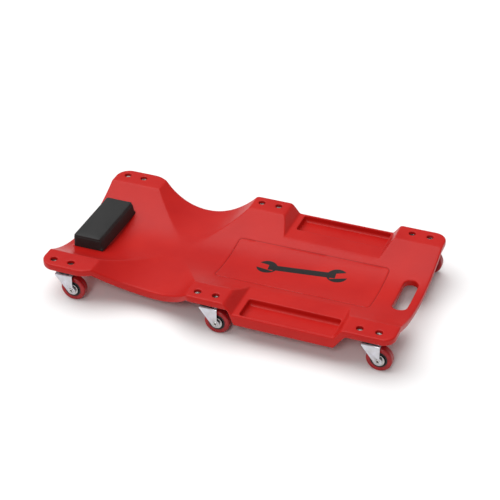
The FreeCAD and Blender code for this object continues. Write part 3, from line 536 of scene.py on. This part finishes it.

# ------------------------------------------------------------------ fasteners
# Plated steel: M8 hexagon bolts and washers sunk in the pads, lock nuts with a nylon ring under
# the caster plates, pan-head screws in the plinth, and the rivets and cups the forks hang on.
# The bolts and washers are drawn in a near-black steel: painted shade of their deep recesses,
# with lighter patches in it as painted glints.
STEEL = (0.58, 0.57, 0.56, 1)
STEEL_DULL = (0.34, 0.33, 0.32, 1)
plated_steel, wire, skin = shader("plated_steel", Metallic=1.0)
place = object_place(wire)
tarnish = speckle(wire, place, 160.0, 4.0, 0.6)
haze = speckle(wire, place, 1400.0, 2.0)
paint(wire, skin, Base_Color=blend_colours(wire, ramp(wire, tarnish, 0.4, 0.75), STEEL, STEEL_DULL),
      Roughness=0.20 + tarnish * 0.16, Normal=relief(wire, haze, 0.00003, 0.4))

# painted shade: near-black steel stands in for the shade inside the bolt recesses; its lighter patches
# are painted glints
PAINTED_RECESS_SHADE = (0.045, 0.040, 0.038, 1)
PAINTED_GLINT_STEEL = (0.50, 0.48, 0.46, 1)
black_steel, wire, skin = shader("black_steel", Metallic=1.0)
place = object_place(wire)
wear_and_glint_patches = ramp(wire, speckle(wire, place, 150.0, 3.0, 0.6), 0.46, 0.60)
paint(wire, skin, Base_Color=blend_colours(wire, wear_and_glint_patches, PAINTED_RECESS_SHADE, PAINTED_GLINT_STEEL),
      Roughness=0.45 + wear_and_glint_patches * 0.15)

TURN_STEPS = 28


def turned(form, profile, steps=TURN_STEPS, axis="Z", centre=(0, 0, 0), shape=None):
    """Turn a closed profile of (radius, height) about an axis; shape(angle) may vary the radius."""
    rings = []
    for radius, height in profile:
        ring = []
        for step in range(steps):
            angle = 2 * math.pi * step / steps
            out = radius * (shape(angle, radius) if shape else 1.0)
            a, b = out * math.cos(angle), out * math.sin(angle)
            spot = (a, b, height) if axis == "Z" else (b, height, a)
            ring.append(form.verts.new(Vector(spot) + Vector(centre)))
            if radius == 0.0:
                break
        rings.append(ring)
    count = len(rings)
    for number, ring in enumerate(rings):
        following = rings[(number + 1) % count]
        for step in range(steps):
            after = (step + 1) % steps
            loop = [ring[step % len(ring)], following[step % len(following)],
                    following[after % len(following)], ring[after % len(ring)]]
            loop = list(dict.fromkeys(loop))
            if len(loop) > 2:
                form.faces.new(loop)


def turned_mesh(name, profiles, **turning):
    """One mesh of several turned profiles, its faces pointing outwards."""
    form = bmesh.new()
    for profile in profiles:
        turned(form, profile, **turning)
    bmesh.ops.recalc_face_normals(form, faces=form.faces)
    mesh = bpy.data.meshes.new(name)
    form.to_mesh(mesh)
    form.free()
    return mesh


def hexagon(angle, radius):
    """Share of the corner radius that a hexagon has at an angle."""
    return math.cos(math.pi / 6) / math.cos((angle + math.pi / 6) % (math.pi / 3) - math.pi / 6)


def crease_edges(piece, degrees):
    """Smooth faces with sharp edges where the surface turns by more than the angle."""
    piece.data.shade_smooth()
    piece.data.set_sharp_from_angle(angle=math.radians(degrees))


def scatter(name, pattern, places, material, seed=0, turn=0.0):
    """Stand one pattern on every place, each turned by a random angle, as one plain mesh."""
    model = keep(f"{name}_pattern", pattern)
    points = bpy.data.meshes.new(f"{name}_places")
    points.from_pydata([tuple(spot) for spot in places], [], [])
    tree, size = geometry_tree(f"{name}_scatter", ["Least turn", "Most turn"])
    wire = Wire(tree)
    source = wire.node("GeometryNodeObjectInfo", None, {"Object": model}, "Geometry")
    angle = wire.node("FunctionNodeRandomValue", {"data_type": "FLOAT"},
                      {2: size["Least turn"], 3: size["Most turn"], "Seed": seed}, 1)
    turn_vector = wire.node("ShaderNodeCombineXYZ", None, {2: angle})
    stood = wire.node("GeometryNodeInstanceOnPoints", None, {
        "Points": size["Geometry"], "Instance": source, "Rotation": turn_vector})
    end_tree(tree, stood, material)
    piece = grow(tree, {"Least turn": 0.0, "Most turn": turn}, points, name)
    bpy.data.objects.remove(model)
    return piece


BOLT_RADIUS = 0.004
BOLT_TAIL = 0.0746
BOLT_SEAT = 0.0901
HEAD_CORNER = 0.0075
HEAD_TOP = 0.0954
NUT_FOOT = 0.0750
NUT_TOP = 0.0805
RECESS_FLOOR = 0.0885
SCREW_LEVEL = 0.060

stations = [Vector((x, side * 0.214, 0.0)) for x in (-0.3965, -0.0165, 0.3855) for side in (1, -1)]
bolt_places = [spot + Vector((reach, 0, 0)) for spot in stations for reach in (-0.023, 0.023)]

# a bolt: chamfered head with a shallow dish, shank and a few turns of thread at its tail
across = HEAD_CORNER * math.cos(math.pi / 6)
bolt_form = bmesh.new()
turned(bolt_form, [(0.0, BOLT_SEAT), (HEAD_CORNER, BOLT_SEAT), (HEAD_CORNER, HEAD_TOP - 0.0012)]
       + [(HEAD_CORNER * 0.965, HEAD_TOP - 0.0006), (HEAD_CORNER * 0.90, HEAD_TOP - 0.0001)]
       + [(HEAD_CORNER * 0.80, HEAD_TOP), (0.0048, HEAD_TOP - 0.0001), (0.0043, HEAD_TOP - 0.0006)]
       + [(0.0, HEAD_TOP - 0.0006)],
       steps=36,
       shape=lambda angle, radius: 1.0 if radius < 0.0050 else
       (hexagon(angle, radius) if radius > 0.0074 else
        min(1.0, hexagon(angle, radius) * HEAD_CORNER / radius)))
thread = [(0.0, BOLT_TAIL), (BOLT_RADIUS - 0.0006, BOLT_TAIL)]
pitch = 0.00125
for turn_number in range(5):
    thread.append((BOLT_RADIUS - 0.0003, BOLT_TAIL + 0.0004 + pitch * turn_number))
    thread.append((BOLT_RADIUS, BOLT_TAIL + 0.0004 + pitch * (turn_number + 0.5)))
thread += [(BOLT_RADIUS, BOLT_SEAT + 0.0002), (0.0, BOLT_SEAT + 0.0002)]
turned(bolt_form, thread, steps=20)
bmesh.ops.recalc_face_normals(bolt_form, faces=bolt_form.faces)
bolt_pattern = bpy.data.meshes.new("bolt")
bolt_form.to_mesh(bolt_pattern)
bolt_form.free()

washer_pattern = turned_mesh("washer", [[
    (0.0042, RECESS_FLOOR), (0.0078, RECESS_FLOOR), (0.0082, RECESS_FLOOR + 0.0004),
    (0.0082, BOLT_SEAT - 0.0004), (0.0078, BOLT_SEAT), (0.0046, BOLT_SEAT),
    (0.0042, BOLT_SEAT - 0.0003)]])


def nut_shape(angle, radius):
    return hexagon(angle, radius) if radius > 0.0073 else 1.0


nut_pattern = turned_mesh("nut", [[
    (BOLT_RADIUS, NUT_TOP), (0.0066, NUT_TOP), (HEAD_CORNER, NUT_TOP - 0.0008),
    (HEAD_CORNER, NUT_FOOT + 0.0018), (0.0060, NUT_FOOT + 0.0010), (0.0058, NUT_FOOT + 0.0002),
    (0.0053, NUT_FOOT), (BOLT_RADIUS, NUT_FOOT)]], steps=36, shape=nut_shape)

KING_SEAT = 0.0790
kingpin_pattern = turned_mesh("kingpin", [[
    (0.0, 0.0662), (0.0050, 0.0662), (0.0063, 0.0666), (0.0065, 0.0673), (0.0065, 0.0680),
    (0.0040, 0.0680), (0.0040, KING_SEAT), (0.0065, KING_SEAT), (0.0064, KING_SEAT + 0.0010),
    (0.0056, KING_SEAT + 0.0019), (0.0036, KING_SEAT + 0.0024), (0.0, KING_SEAT + 0.0025)]])
cup_pattern = turned_mesh("cup", [[
    (0.0040, 0.0680), (0.0080, 0.0680), (0.0088, 0.0683), (0.0090, 0.0690),
    (0.0090, 0.0702), (0.0086, 0.0706), (0.0040, 0.0706)]])

# a pan-head screw; its cross recess is pressed into the head
screw_form = bmesh.new()
turned(screw_form, [(0.0, SCREW_LEVEL - 0.0024), (0.0022, SCREW_LEVEL - 0.0024),
                    (0.0036, SCREW_LEVEL - 0.0021), (0.0045, SCREW_LEVEL - 0.0011),
                    (0.0045, SCREW_LEVEL), (0.0020, SCREW_LEVEL), (0.0020, SCREW_LEVEL + 0.0110),
                    (0.0006, SCREW_LEVEL + 0.0124), (0.0, SCREW_LEVEL + 0.0124)])
bmesh.ops.recalc_face_normals(screw_form, faces=screw_form.faces)
for vertex in screw_form.verts:
    flat = vertex.co.to_2d()
    if vertex.co.z < SCREW_LEVEL - 0.0020 and flat.length < 0.0023:
        on_cross = min(abs(flat.x), abs(flat.y)) < 0.0004
        vertex.co.z += 0.0012 if on_cross else 0.0
screw_pattern = bpy.data.meshes.new("screw")
screw_form.to_mesh(screw_pattern)
screw_form.free()
screw_places = [(DECK["Plinth x"] + a * 0.018, b * 0.060, 0.0) for a in (-1, 1) for b in (-1, 1)]

for name, pattern, places, node, turn, material in (
        ("hex_bolts", bolt_pattern, bolt_places, "caster_bolts", math.pi, black_steel),
        ("washers", washer_pattern, bolt_places, "bolt_washers", 0.0, black_steel),
        ("nuts", nut_pattern, bolt_places, "lock_nuts", math.pi, plated_steel),
        ("rivets", kingpin_pattern, stations, "kingpins", 0.0, plated_steel),
        ("cups", cup_pattern, stations, "race_cups", 0.0, plated_steel),
        ("pad_screws", screw_pattern, screw_places, "headrest_screws", math.pi, plated_steel)):
    piece = scatter(name, pattern, places, material, seed=7, turn=turn)
    crease_edges(piece, 32)
    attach(piece, "deck")
    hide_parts(node)

# ------------------------------------------------------------------ caster plates and forks
# Each top plate and fork is pressed from 2.5 mm sheet and bright zinc plated. The sheared
# edges are tumbled round before plating; the balls between them are bearing steel.
ZINC = (0.60, 0.60, 0.66, 1)
ZINC_WARM = (0.50, 0.49, 0.50, 1)
SHEET_ROUND = 0.0005
bright_zinc, wire, skin = shader("bright_zinc", Metallic=1.0)
place = object_place(wire)
spangle = speckle(wire, place, 70.0, 3.0, 0.55)
drawn = speckle(wire, wire.node("ShaderNodeMapping", None, {"Vector": place, "Scale": (300, 300, 40)}),
                1.0, 3.0, 0.6)
marks = ramp(wire, speckle(wire, place, 420.0, 5.0, 0.7), 0.62, 0.74)
paint(wire, skin,
      Base_Color=blend_colours(wire, ramp(wire, spangle, 0.35, 0.7), ZINC, ZINC_WARM),
      Roughness=0.24 + spangle * 0.10 + marks * 0.12,
      Normal=relief(wire, drawn, 0.00006, 0.35, relief(wire, spangle, 0.0006, 0.10)))
ball_steel, wire, skin = shader("ball_steel", Metallic=1.0)
smear = speckle(wire, object_place(wire), 500.0, 3.0)
GREASED = (0.16, 0.14, 0.11, 1)
BRIGHT = (0.62, 0.61, 0.60, 1)
paint(wire, skin, Base_Color=blend_colours(wire, ramp(wire, smear, 0.4, 0.65), GREASED, BRIGHT),
      Roughness=0.16 + smear * 0.25)


def softened(node, name, width):
    """A copy of a sheet-metal node with its sheared edges rounded."""
    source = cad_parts[node]
    form = bmesh.new()
    form.from_mesh(source.data)
    bmesh.ops.remove_doubles(form, verts=form.verts, dist=1e-5)
    bmesh.ops.dissolve_limit(form, angle_limit=math.radians(1.5), verts=form.verts,
                             edges=form.edges)
    mesh = bpy.data.meshes.new(name)
    form.to_mesh(mesh)
    form.free()
    mesh.materials.clear()
    piece = keep(name, mesh)
    add_modifier(piece, "BEVEL", width=width, segments=2, limit_method="ANGLE",
                 angle_limit=math.radians(35), use_clamp_overlap=True)
    settle(piece)
    crease_edges(piece, 35)
    return piece


tags = [f"{station}_{side}" for station in ("head", "mid", "foot") for side in ("left", "right")]
for tag in tags:
    for kind, body in (("top_plate", "deck"), ("fork", f"swivel_{tag}")):
        piece = softened(f"{kind}_{tag}", f"pressed_{kind}_{tag}", SHEET_ROUND)
        piece.data.materials.append(bright_zinc)
        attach(piece, body)
        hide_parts(f"{kind}_{tag}")
    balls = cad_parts[f"race_balls_{tag}"]
    balls.data.materials.clear()
    balls.data.materials.append(ball_steel)

# ------------------------------------------------------------------ wheels
# A dark red polyurethane tyre is cast on a black moulded hub. Pressed dust caps close the hub,
# which turns on a plain bush; a hollow rivet through both fork legs holds the bush.
TYRE = (0.275, 0.0085, 0.0110, 1)
TYRE_LIGHT = (0.37, 0.0125, 0.0150, 1)
TYRE_DUST = (0.30, 0.080, 0.070, 1)
HUB = (0.010, 0.010, 0.011, 1)
HUB_GREY = (0.030, 0.030, 0.031, 1)
tyre_rubber, wire, skin = shader("tyre_rubber", Specular_IOR_Level=0.32)
place = object_place(wire)
swirl = speckle(wire, place, 55.0, 4.0, 0.6)
dusty = ramp(wire, speckle(wire, place, 240.0, 5.0, 0.7), 0.56, 0.80)
red = blend_colours(wire, ramp(wire, swirl, 0.35, 0.7), TYRE, TYRE_LIGHT)
paint(wire, skin, Base_Color=blend_colours(wire, dusty * 0.22, red, TYRE_DUST),
      Roughness=0.28 + dusty * 0.30 + swirl * 0.06,
      Normal=relief(wire, dusty, 0.00012, 0.25, relief(wire, swirl, 0.0006, 0.12)))
hub_nylon, wire, skin = shader("hub_nylon", Specular_IOR_Level=0.4)
place = object_place(wire)
mould = speckle(wire, place, 900.0, 2.0)
worn = ramp(wire, speckle(wire, place, 120.0, 4.0), 0.5, 0.8)
paint(wire, skin, Base_Color=blend_colours(wire, worn * 0.5, HUB, HUB_GREY),
      Roughness=0.44 + worn * 0.12, Normal=relief(wire, mould, 0.00008, 0.5))
BRONZE = (0.42, 0.27, 0.13, 1)
BRONZE_OILED = (0.16, 0.10, 0.055, 1)
bush_bronze, wire, skin = shader("bush_bronze", Metallic=1.0)
oiled = speckle(wire, object_place(wire), 300.0, 3.0)
paint(wire, skin, Base_Color=blend_colours(wire, ramp(wire, oiled, 0.4, 0.7), BRONZE, BRONZE_OILED),
      Roughness=0.34 + oiled * 0.15)

WHEEL_STEPS = 96
TREAD = 0.03175
RIM = 0.02075


def mirrored(half):
    """A profile that is the same on both sides of the wheel's middle."""
    return half + [(radius, -across) for radius, across in reversed(half)]


# from the rim outwards: a shallow groove beside the rim, a swelling wall, the shoulder, the tread
tyre_half = [(RIM, 0.0100), (0.0216, 0.0106), (0.0226, 0.0109), (0.0250, 0.0110), (0.0274, 0.0110)]
for step in range(1, 8):
    angle = math.radians(90 * step / 8)
    tyre_half.append((0.0274 + 0.0042 * math.sin(angle), 0.0068 + 0.0042 * math.cos(angle)))
tyre_half += [(TREAD - 0.0001, 0.0066), (TREAD, 0.0035), (TREAD, 0.0006), (TREAD - 0.0003, 0.0002)]
hub_half = [(0.00512, 0.0125), (0.0116, 0.0126), (0.0124, 0.0122), (0.0129, 0.0085),
            (0.0136, 0.0073), (0.0150, 0.0073), (0.0161, 0.0080), (0.0171, 0.0098),
            (0.0176, 0.0104), (0.0183, 0.0105), (0.0202, 0.0105), (RIM, 0.0102)]
cap = [(0.0057, 0.0126), (0.0138, 0.0126), (0.0146, 0.0127), (0.0150, 0.0131), (0.0149, 0.0136),
       (0.0142, 0.0138), (0.0130, 0.0136), (0.0100, 0.0137), (0.0086, 0.0140), (0.0062, 0.0140),
       (0.0057, 0.0137)]
axle_half = [(0.0, 0.0040), (0.0025, 0.0040), (0.0027, 0.0044), (0.0027, 0.0199), (0.0030, 0.0203),
             (0.0036, 0.0206), (0.0050, 0.0205), (0.0060, 0.0201), (0.0064, 0.0195),
             (0.0065, 0.0190), (0.0040, 0.0190)]

for tag in tags:
    low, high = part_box(f"tyre_{tag}")
    centre = (low + high) / 2
    opposite = [(radius, -across) for radius, across in cap]
    for name, profiles, node, body, material, slot_name in (
            ("cast_tyre", [mirrored(tyre_half)], "tyre", "wheel", tyre_rubber, "tyre"),
            ("moulded_hub", [mirrored(hub_half)], "wheel_hub", "wheel", hub_nylon, "hub_plastic"),
            ("pressed_caps", [cap, opposite], "dust_caps", "wheel", plated_steel, "plated_steel"),
            ("hollow_rivet", [mirrored(axle_half)], "axle", "swivel", plated_steel,
             "plated_steel")):
        mesh = turned_mesh(name, profiles, steps=WHEEL_STEPS, axis="Y", centre=centre)
        piece = keep(f"{name}_{tag}", mesh)
        mesh.materials.append(material)
        crease_edges(piece, 50)
        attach(piece, f"{body}_{tag}")
        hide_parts(f"{node}_{tag}")
    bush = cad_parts[f"axle_bush_{tag}"]
    bush.data.materials.clear()
    bush.data.materials.append(bush_bronze)

# ------------------------------------------------------------------ studio
# A pale floor that runs to the horizon, one large soft light over the head end, a fill from the
# foot end and a dim white surround.
FLOOR_SIZE = 60.0
floor_mesh = bpy.data.meshes.new("studio_floor")
corners = [(a * FLOOR_SIZE, b * FLOOR_SIZE, 0.0) for a, b in ((-1, -1), (1, -1), (1, 1), (-1, 1))]
floor_mesh.from_pydata(corners, [], [(0, 1, 2, 3)])
floor = keep("studio_floor", floor_mesh)
floor_paint, wire, skin = shader("studio_floor", Roughness=0.75, Specular_IOR_Level=0.15)
tone = speckle(wire, object_place(wire), 1.5)
paint(wire, skin, Base_Color=blend_colours(wire, tone, (0.86, 0.86, 0.86, 1), (0.88, 0.88, 0.88, 1)))
floor_mesh.materials.append(floor_paint)

surround = bpy.data.worlds.new("surround")
surround.use_nodes = True
surround.node_tree.nodes["Background"].inputs["Color"].default_value = (1.0, 1.0, 1.0, 1)
surround.node_tree.nodes["Background"].inputs["Strength"].default_value = 0.38
bpy.context.scene.world = surround


def broad_light(name, direction, strength, spread):
    """A far lamp shining from a direction, as wide as the spread in degrees."""
    light = bpy.data.lights.new(name, "SUN")
    light.energy = strength
    light.angle = math.radians(spread)
    lamp = bpy.data.objects.new(name, light)
    lamp.rotation_euler = Vector(direction).to_track_quat("Z", "Y").to_euler()
    bpy.context.scene.collection.objects.link(lamp)


broad_light("key", (-0.35, 0.10, 0.93), 2.55, 66)
broad_light("fill", (0.12, -0.72, 0.62), 0.75, 16)

CAMERA_PLACE = (1.1615, -2.980, 2.213)
CAMERA_AZIMUTH = math.radians(21.2)
CAMERA_ELEVATION = math.radians(33.5)
CAMERA_ROLL = math.radians(-0.11)
lens = bpy.data.cameras.new("camera")
lens.sensor_width = 36.0
lens.lens = 112.0
lens.clip_start = 0.05
lens.clip_end = 300.0
camera = bpy.data.objects.new("camera", lens)
camera.location = CAMERA_PLACE
camera.rotation_euler = (math.radians(90) - CAMERA_ELEVATION, CAMERA_ROLL, CAMERA_AZIMUTH)
bpy.context.scene.collection.objects.link(camera)
bpy.context.scene.camera = camera
bpy.context.scene.view_settings.view_transform = "Standard"
